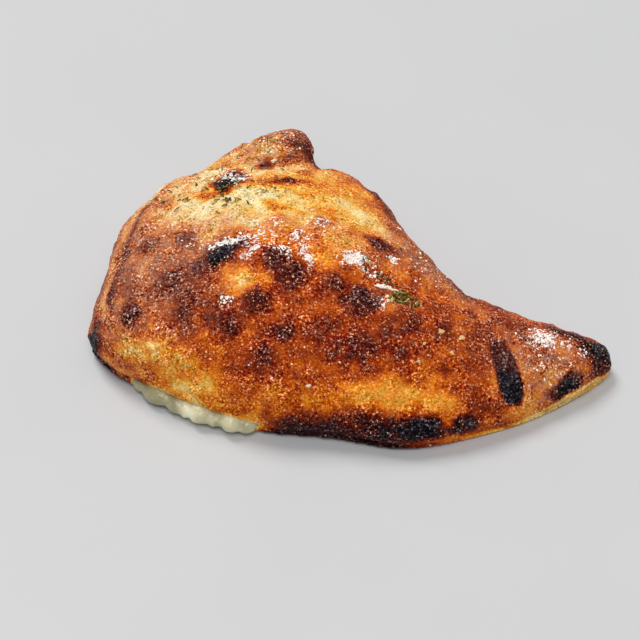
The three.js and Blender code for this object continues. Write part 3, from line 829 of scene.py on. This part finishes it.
class Shader:
    """A short way to write a node material."""

    DARKEST = (0.03, 0.02, 0.02)  # display colour under which toned() goes no darker

    def __init__(self, name):
        self.material = bpy.data.materials.new(name)
        self.material.use_nodes = True
        self.tree = self.material.node_tree
        self.surface = self.tree.nodes["Principled BSDF"]
        self.place = self.node("TexCoord").outputs["Object"]

    def node(self, kind, inputs=(), **settings):
        made = self.tree.nodes.new("ShaderNode" + kind)
        for key, value in settings.items():
            setattr(made, key, value)
        for key, value in dict(inputs).items():
            self.put(made.inputs[key], value)
        return made

    def put(self, socket, value):
        if isinstance(value, bpy.types.NodeSocket):
            self.tree.links.new(value, socket)
        else:
            socket.default_value = value

    def give(self, name, value):
        """Sets or links an input of the surface."""
        self.put(self.surface.inputs[name], value)

    def math(self, operation, first, second):
        return self.node("Math", {0: first, 1: second}, operation=operation).outputs[0]

    def times(self, first, second):
        return self.math("MULTIPLY", first, second)

    def attribute(self, name):
        return self.node("Attribute", attribute_name=name).outputs["Fac"]

    def noise(self, size_mm, detail=3.0, roughness=0.55):
        """Noise of 0 to 1 with features of about that size."""
        values = {"Vector": self.place, "Scale": 0.5 / (size_mm * MM)}
        values.update({"Detail": detail, "Roughness": roughness})
        return self.node("TexNoise", values).outputs["Fac"]

    def cells(self, size_mm):
        """Distance from the middle of random cells, and each cell's own random number."""
        values = {"Vector": self.place, "Scale": 1 / (size_mm * MM)}
        made = self.node("TexVoronoi", values)
        chance = self.node("SeparateColor", {0: made.outputs["Color"]})
        return made.outputs["Distance"], chance.outputs[0]

    def centred(self, noise, amount):
        return self.times(self.math("SUBTRACT", noise, 0.5), amount)

    def step(self, value, low, high):
        values = {"Value": value, "From Min": low, "From Max": high}
        return self.node("MapRange", values, interpolation_type="SMOOTHSTEP").outputs["Result"]

    def ramp(self, value, stops):
        """Display colours along a value: position, then colour."""
        made = self.node("ValToRGB", {"Fac": value})
        colours = made.color_ramp.elements
        while len(colours) < len(stops):
            colours.new(0.5)
        for element, (position, colour) in zip(colours, stops):
            element.position = position
            element.color = srgb(*colour)
        return made.outputs["Color"]

    def mix(self, share, first, second):
        made = self.node("Mix", {0: share}, data_type="RGBA")
        self.put(made.inputs[6], first)
        self.put(made.inputs[7], second)
        return made.outputs[2]

    def raise_by(self, height, distance_mm):
        values = {"Height": height, "Distance": distance_mm * MM, "Strength": 1.0}
        return self.node("Bump", values).outputs["Normal"]

    def toned(self, colour, amount):
        """The colour made lighter or darker by the same amount in all display channels."""
        shown = self.node("Gamma", {"Color": colour, "Gamma": 1 / 2.2}).outputs[0]
        grey = self.node("CombineXYZ", {0: amount, 1: amount, 2: amount}).outputs[0]
        moved = self.node("VectorMath", {0: shown, 1: grey}, operation="ADD").outputs[0]
        limits = {0: moved, 1: self.DARKEST}
        kept = self.node("VectorMath", limits, operation="MAXIMUM").outputs[0]
        return self.node("Gamma", {"Color": kept, "Gamma": 2.2}).outputs[0]

    def total(self, *values):
        result = values[0]
        for value in values[1:]:
            result = self.math("ADD", result, value)
        return result


def crust_material():
    s = Shader("baked_dough")
    coarse, middle = s.noise(6, 4), s.noise(2.2, 4)
    fine, dust_grain = s.noise(0.62, 4, 0.65), s.noise(0.4, 3, 0.7)
    bake_and_shade, char_and_shade, flour = s.attribute("bake_and_shade"), s.attribute("char_and_shade"), s.attribute("flour")
    golden, brown = s.step(bake_and_shade, 0.12, 0.32), s.step(bake_and_shade, 0.22, 0.5)

    # The tiny blisters: their lighter centres are painted highlights on their tops, and their relief is
    # in the bump.
    away, chance = s.cells(1.25)
    bead = s.math("SUBTRACT", 1.0, s.step(s.total(away, s.centred(fine, 0.4)), 0.05, 0.5))
    bead = s.times(bead, s.math("POWER", chance, 1.6))

    level = s.total(
        bake_and_shade, s.centred(coarse, 0.34), s.times(char_and_shade, s.math("SUBTRACT", 0.93, bake_and_shade)),
        s.times(s.centred(middle, 0.5), s.total(s.times(brown, 0.6), 0.4)),
        s.times(bead, -0.16),
    )
    colour = s.ramp(level, [
        (0.00, (253, 235, 186)), (0.12, (252, 224, 154)), (0.24, (250, 188, 82)),
        (0.37, (240, 140, 36)), (0.51, (200, 92, 22)), (0.65, (152, 58, 14)),
        (0.80, (98, 34, 20)), (1.00, (56, 24, 26)),
    ])
    patchy = s.total(s.times(s.step(middle, 0.3, 0.7), 0.6), 0.4)
    dusty = s.times(s.attribute("dusty"), patchy)
    dust = s.ramp(level, [(0.1, (240, 218, 190)), (0.4, (200, 152, 120)), (0.8, (128, 84, 74))])
    colour = s.mix(s.times(dusty, 0.72), colour, dust)

    burnt = s.step(s.total(char_and_shade, s.centred(middle, 0.5), s.centred(fine, 0.5)), 0.96, 1.24)
    soot = s.ramp(fine, [(0.3, (14, 14, 20)), (0.75, (52, 46, 54))])
    colour = s.mix(burnt, colour, soot)

    # Fine grain, the same amount lighter or darker in every display channel: partly the crust's own
    # grain, partly painted glints of its oily surface, strongest on the peaks and in the char.
    lifted = s.total(s.times(golden, 0.14), s.times(brown, 0.18))
    glint_peaks = s.times(s.step(fine, 0.56, 0.74), lifted)
    pits = s.times(s.step(fine, 0.44, 0.28), s.total(s.times(golden, 0.22), -0.28))
    grain_and_glints = s.total(
        s.times(s.centred(fine, 1.12), s.total(0.8, s.times(brown, 0.18))),
        s.centred(dust_grain, 0.6), s.centred(middle, 0.46), glint_peaks, pits,
        s.times(bead, 0.16), -0.06,
    )
    clusters = s.total(s.times(s.step(s.noise(4.5, 3), 0.36, 0.66), 1.1), 0.45)
    charred = s.times(s.step(char_and_shade, 0.4, 0.8), 0.5)
    strength = s.times(clusters, s.total(1.0, charred, s.times(burnt, -0.5)))
    lightest = s.total(0.05, s.times(golden, 0.6))
    colour = s.toned(colour, s.math("MINIMUM", s.times(grain_and_glints, strength), lightest))

    # Light specks: partly pale grains, partly painted glints of the oily crust; fewer on the burnt
    # parts.
    away, chance = s.cells(2.0)
    ragged = s.total(away, s.centred(fine, 0.7))
    glint_speck = s.math("SUBTRACT", 1.0, s.step(ragged, 0.12, 0.26))
    glint_speck = s.times(glint_speck, s.step(chance, 0.66, 0.78))
    glint_speck = s.times(glint_speck, s.total(0.62, s.times(burnt, -0.35)))
    colour = s.mix(glint_speck, colour, srgb(255, 206, 158))

    film = s.total(flour, s.centred(middle, 1.2), s.centred(fine, 2.2), s.centred(dust_grain, 1.6))
    film = s.times(s.step(film, 0.45, 0.75), s.step(flour, 0.02, 0.2))
    colour = s.mix(s.times(film, 0.9), colour, srgb(246, 238, 232))

    s.give("Base Color", colour)
    dull = s.total(s.times(dusty, 0.3), s.times(film, 0.4))
    rough = s.total(0.36, dull, s.centred(middle, 0.25))
    s.give("Roughness", rough)
    glints = s.times(s.step(fine, 0.56, 0.7), s.total(0.1, s.times(brown, 0.35)))
    s.give("Specular IOR Level", s.total(0.05, glints))
    bumps = s.total(middle, s.times(fine, 0.7), s.times(bead, 0.8))
    s.give("Normal", s.raise_by(bumps, 0.85))
    return s.material


def cheese_material():
    s = Shader("melted_cheese")
    patches, fine = s.noise(5, 3), s.noise(1.2, 3)
    tone = s.total(s.attribute("tone"), s.centred(patches, 0.5), s.centred(fine, 0.3))
    colour = s.ramp(tone, [
        (0.0, (136, 132, 100)), (0.35, (174, 168, 132)),
        (0.7, (210, 203, 166)), (1.0, (240, 234, 206)),
    ])
    s.give("Base Color", colour)
    s.give("Roughness", s.total(0.14, s.centred(patches, 0.2)))
    s.give("Subsurface Weight", 0.25)
    s.give("Subsurface Radius", (1.0, 0.8, 0.5))
    s.give("Subsurface Scale", 0.003)
    s.give("Normal", s.raise_by(s.total(fine, s.times(patches, 2.0)), 0.4))
    return s.material


def flake_material(name, stops, roughness):
    """A finish for scattered bits, whose tone differs from one to the next."""
    s = Shader(name)
    fine = s.noise(0.5, 2)
    tone = s.total(s.attribute("tone"), s.centred(fine, 0.25))
    s.give("Base Color", s.ramp(tone, stops))
    s.give("Roughness", roughness)
    s.give("Specular IOR Level", 0.2)
    s.give("Normal", s.raise_by(fine, 0.1))
    return s.material


def floor_material():
    s = Shader("pale_floor")
    s.give("Base Color", s.mix(s.noise(60, 2), srgb(190, 191, 193), srgb(196, 197, 199)))
    s.give("Roughness", 0.6)
    return s.material


# ---- scattered bits


def grain_shape():
    ball = bmesh.new()
    bmesh.ops.create_icosphere(ball, subdivisions=1, radius=1)
    points = np.array([vertex.co[:] for vertex in ball.verts])
    faces = np.array([[vertex.index for vertex in face.verts] for face in ball.faces])
    ball.free()
    return points, faces


def flake_shape(steps=4):
    """A thin wavy leaf fragment: two faces split alike, joined round the edge."""
    x = np.linspace(-1, 1, steps + 1)
    half = 0.5 * np.sqrt(np.maximum(1.1 - x * x, 0.1))
    lift = 0.22 * np.sin(2.2 * x + 0.5)
    rows = []
    for z in (0.09, -0.09):
        for side in (-1, 1):
            rows.append(np.column_stack([x, side * half, lift + z + 0.1 * side * x]))
    size = steps + 1
    faces = []
    for first, second, turned_over in ((0, 1, 0), (1, 3, 0), (2, 3, 1), (0, 2, 1)):
        for i in range(steps):
            a, b = first * size + i, second * size + i
            pair = [(a, b, b + 1), (a, b + 1, a + 1)]
            faces += [face[::-1] for face in pair] if turned_over else pair
    for i in (0, steps):
        corners = [i, size + i, 3 * size + i, 2 * size + i][:: 1 if i else -1]
        faces += [(corners[0], corners[1], corners[2]), (corners[0], corners[2], corners[3])]
    return np.vstack(rows), np.array(faces)[:, ::-1]


def spots(row):
    """Random places inside a turned elliptical patch, densest in its middle."""
    x, y, half_length, half_width, turn, count = row
    out = SPOT_SPREAD * np.sqrt(-np.log(1 - SPOT_SHARE * rng.random(count)))
    angle = rng.uniform(0, 2 * math.pi, count)
    along, across = half_length * out * np.cos(angle), half_width * out * np.sin(angle)
    tilt = math.radians(turn)
    places = np.column_stack([
        x + along * math.cos(tilt) - across * math.sin(tilt),
        y + along * math.sin(tilt) + across * math.cos(tilt),
        np.zeros(count),
    ])
    return places[value_noise(places, 2.6, 91) > CLUMPING, :2]


def drop(tree, places):
    """The surface's point and normal under each place, in millimetres."""
    down = Vector((0, 0, -1))
    points, normals = [], []
    for x, y in places:
        point, normal, _, _ = tree.ray_cast(Vector((x, y, 200)), down)
        if point is not None and point.z > 5:
            points.append(point)
            normals.append(normal)
    return np.array(points), np.array(normals)


def scatter(name, tree, places, sizes, shape, finish, turns=None, tones=None):
    """One mesh of many angular bits that lie on the crust; sizes gives length, width and height."""
    base_points, base_faces = shape
    points, normals = drop(tree, places)
    count = len(points)
    sizes = sizes[:count]
    spin = rng.uniform(0, 2 * math.pi, count) if turns is None else np.radians(turns) - math.pi
    level = np.where(np.abs(normals[:, :1]) < 0.9, [[0, 1.0, 0]], [[1.0, 0, 0]])
    side = unit(np.cross(normals, level))
    front = np.cross(normals, side)
    first = side * np.cos(spin)[:, None] + front * np.sin(spin)[:, None]
    second = np.cross(normals, first)
    uneven = 1 + 0.4 * rng.uniform(-1, 1, (count, len(base_points), 1))
    local = base_points[None] * uneven * sizes[:, None, :]
    placed = (
        points[:, None]
        + local[..., :1] * first[:, None]
        + local[..., 1:2] * second[:, None]
        + (local[..., 2:] + sizes[:, None, 2:] * (1 - 2 * SINK)) * normals[:, None]
    )
    faces = base_faces[None] + (np.arange(count) * len(base_points))[:, None, None]
    piece = make_object(name, placed.reshape(-1, 3), faces.reshape(-1, 3))
    tone = np.repeat(rng.random(count) if tones is None else tones, len(base_points))
    set_attributes(piece, {"tone": tone})
    finish_piece(piece, flake_material(*finish), smooth=False)


def disc_shape(sides=11, rings=3):
    """A flat round flake with a domed top, closed underneath."""
    angles = np.arange(sides) * 2 * math.pi / sides
    points = [(0, 0, 1)]
    for out in np.arange(1, rings + 1) / rings:
        points += [(out * math.cos(a), out * math.sin(a), 1 - 0.8 * out**4) for a in angles]
    points.append((0, 0, -1))
    faces = []
    outer = (rings - 1) * sides
    for i in range(1, sides + 1):
        j = i % sides + 1
        faces.append((0, i, j))
        for ring in range(0, outer, sides):
            a, b = i + ring, j + ring
            faces += [(a, a + sides, b + sides), (a, b + sides, b)]
        faces.append((j + outer, i + outer, len(points) - 1))
    return np.array(points), np.array(faces)


def grain_sizes(count, low, high, longer=1.5):
    length = low + (high - low) * rng.random(count) ** 2.2
    height = length * rng.uniform(0.35, 0.6, count)
    return np.column_stack([length * rng.uniform(1, longer, count), length, height])


def scatter_flour(surface):
    places = np.vstack([spots(row) for row in FLOUR])
    sizes = grain_sizes(len(places), 0.10, 0.62, 1.8)
    stops = [(0.0, (226, 216, 206)), (0.5, (252, 248, 242))]
    scatter("flour", surface, places, sizes, grain_shape(), ("flour_grains", stops, 0.7))


def scatter_crumbs(surface):
    """Baked grains all over the crust, but not in the slot."""
    x, y = rng.uniform(-125, 125, CRUMB_COUNT), rng.uniform(-92, 94, CRUMB_COUNT)
    places = np.column_stack([x, y, 0 * x])
    places = places[vent_mask(places) < 0.2, :2]
    sizes = grain_sizes(len(places), 0.16, 0.5)
    stops = [(0.0, (178, 92, 36)), (0.7, (240, 170, 104)), (1.0, (255, 220, 180))]
    scatter("crumbs", surface, places, sizes, grain_shape(), ("crumb_grains", stops, 0.5))


def scatter_herbs(surface):
    places = np.vstack([spots(row) for row in HERBS])
    lengths = rng.uniform(0.45, 1.6, len(places))
    widths = lengths * rng.uniform(0.2, 0.7, len(places))
    sizes = np.column_stack([lengths, widths, lengths])
    stops = [(0.0, (50, 38, 10)), (0.4, (88, 70, 20)), (0.75, (142, 118, 42)), (1.0, (206, 184, 108))]
    scatter("herb_flakes", surface, places, sizes, flake_shape(), ("dried_herb", stops, 0.7))


def scatter_onion(surface):
    """The few larger flakes, each at its own place."""
    rows = np.array(ONION)
    stops = [(0.0, (196, 154, 92)), (0.4, (226, 190, 136)), (1.0, (250, 236, 224))]
    scatter(
        "onion_flakes", surface, rows[:, :2], rows[:, 2:5], disc_shape(),
        ("dried_onion", stops, 0.55), turns=rows[:, 5], tones=rows[:, 6],
    )


# ---- surroundings


def sun(name, toward, width, power, colour):
    """A distant soft light from a direction; width is its angle in degrees."""
    light = bpy.data.lights.new(name, "SUN")
    light.angle = math.radians(width)
    light.energy = power
    light.color = colour
    lamp = add_object(name, light)
    lamp.rotation_euler = Vector(toward).to_track_quat("Z", "Y").to_euler()


def set_up_view():
    """The photograph's view: 48 degrees down along +Y from a metre away, with a long lens."""
    elevation = math.radians(48.04)
    distance = 1.0
    target = Vector((-14.6, -9.0, 0)) * MM
    camera = bpy.data.cameras.new("camera")
    camera.sensor_width = 36
    camera.lens = 113.4
    eye = add_object("camera", camera)
    eye.location = target + distance * Vector((0, -math.cos(elevation), math.sin(elevation)))
    eye.rotation_euler = (math.pi / 2 - elevation, 0, 0)
    bpy.context.scene.camera = eye


def set_up_light():
    sun("key", (-0.40, 0.60, 1.00), 24, 1.9, (1.0, 0.985, 0.96))
    sun("overhead", (-0.05, -0.42, 1.35), 36, 1.25, (1.0, 0.995, 0.99))
    world = bpy.data.worlds.new("studio")
    world.use_nodes = True
    backdrop = world.node_tree.nodes["Background"]
    backdrop.inputs["Color"].default_value = (1, 1, 1, 1)
    backdrop.inputs["Strength"].default_value = 0.32
    bpy.context.scene.world = world
    bpy.context.scene.view_settings.view_transform = "Standard"


def make_floor():
    """A plain floor that curves up into a wall far away, so that no horizon shows."""
    flat, bend = 1.6, 1.3
    lift = np.radians(np.linspace(0, 78, 14))
    radius = np.concatenate([[0.0], flat + bend * np.sin(lift)])
    height = np.concatenate([[0.0], bend * (1 - np.cos(lift))])
    angle = np.linspace(0, 2 * math.pi, 96, endpoint=False)
    rings = np.stack([
        radius[:, None] * np.cos(angle), radius[:, None] * np.sin(angle),
        height[:, None] + 0 * angle,
    ], axis=-1)
    floor = skin("floor", rings[::-1])
    shade(floor, floor_material())


# ---- assembly


def make_crust():
    """The dough with its hollow for the cheese. Returns its surface, still in millimetres."""
    crust, corner_tree = crust_form()
    cutter = skin("cutter", dome(FILLING, grow=GAP))
    curd_cutter = curds(grow=GAP)
    curd_tree = tree_of(curd_cutter)
    combine(cutter, curd_cutter, "UNION")
    combine(crust, cutter, "DIFFERENCE")
    levels = browning_and_shade(read_points(crust), read_normals(crust), corner_tree, curd_tree)
    set_attributes(crust, levels)
    surface = tree_of(crust)
    finish_piece(crust, crust_material())
    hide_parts("crust")
    return surface


def make_cheese():
    cheese = skin("run_out_cheese", dome(FILLING))
    combine(cheese, curds(grow=CHEESE_SWELL), "UNION")
    set_attributes(cheese, {"tone": cheese_tone_and_shade(read_points(cheese))})
    finish_piece(cheese, cheese_material())
    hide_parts("filling")


set_up_view()
set_up_light()
make_floor()
surface = make_crust()
make_cheese()
scatter_flour(surface)
scatter_crumbs(surface)
scatter_herbs(surface)
scatter_onion(surface)
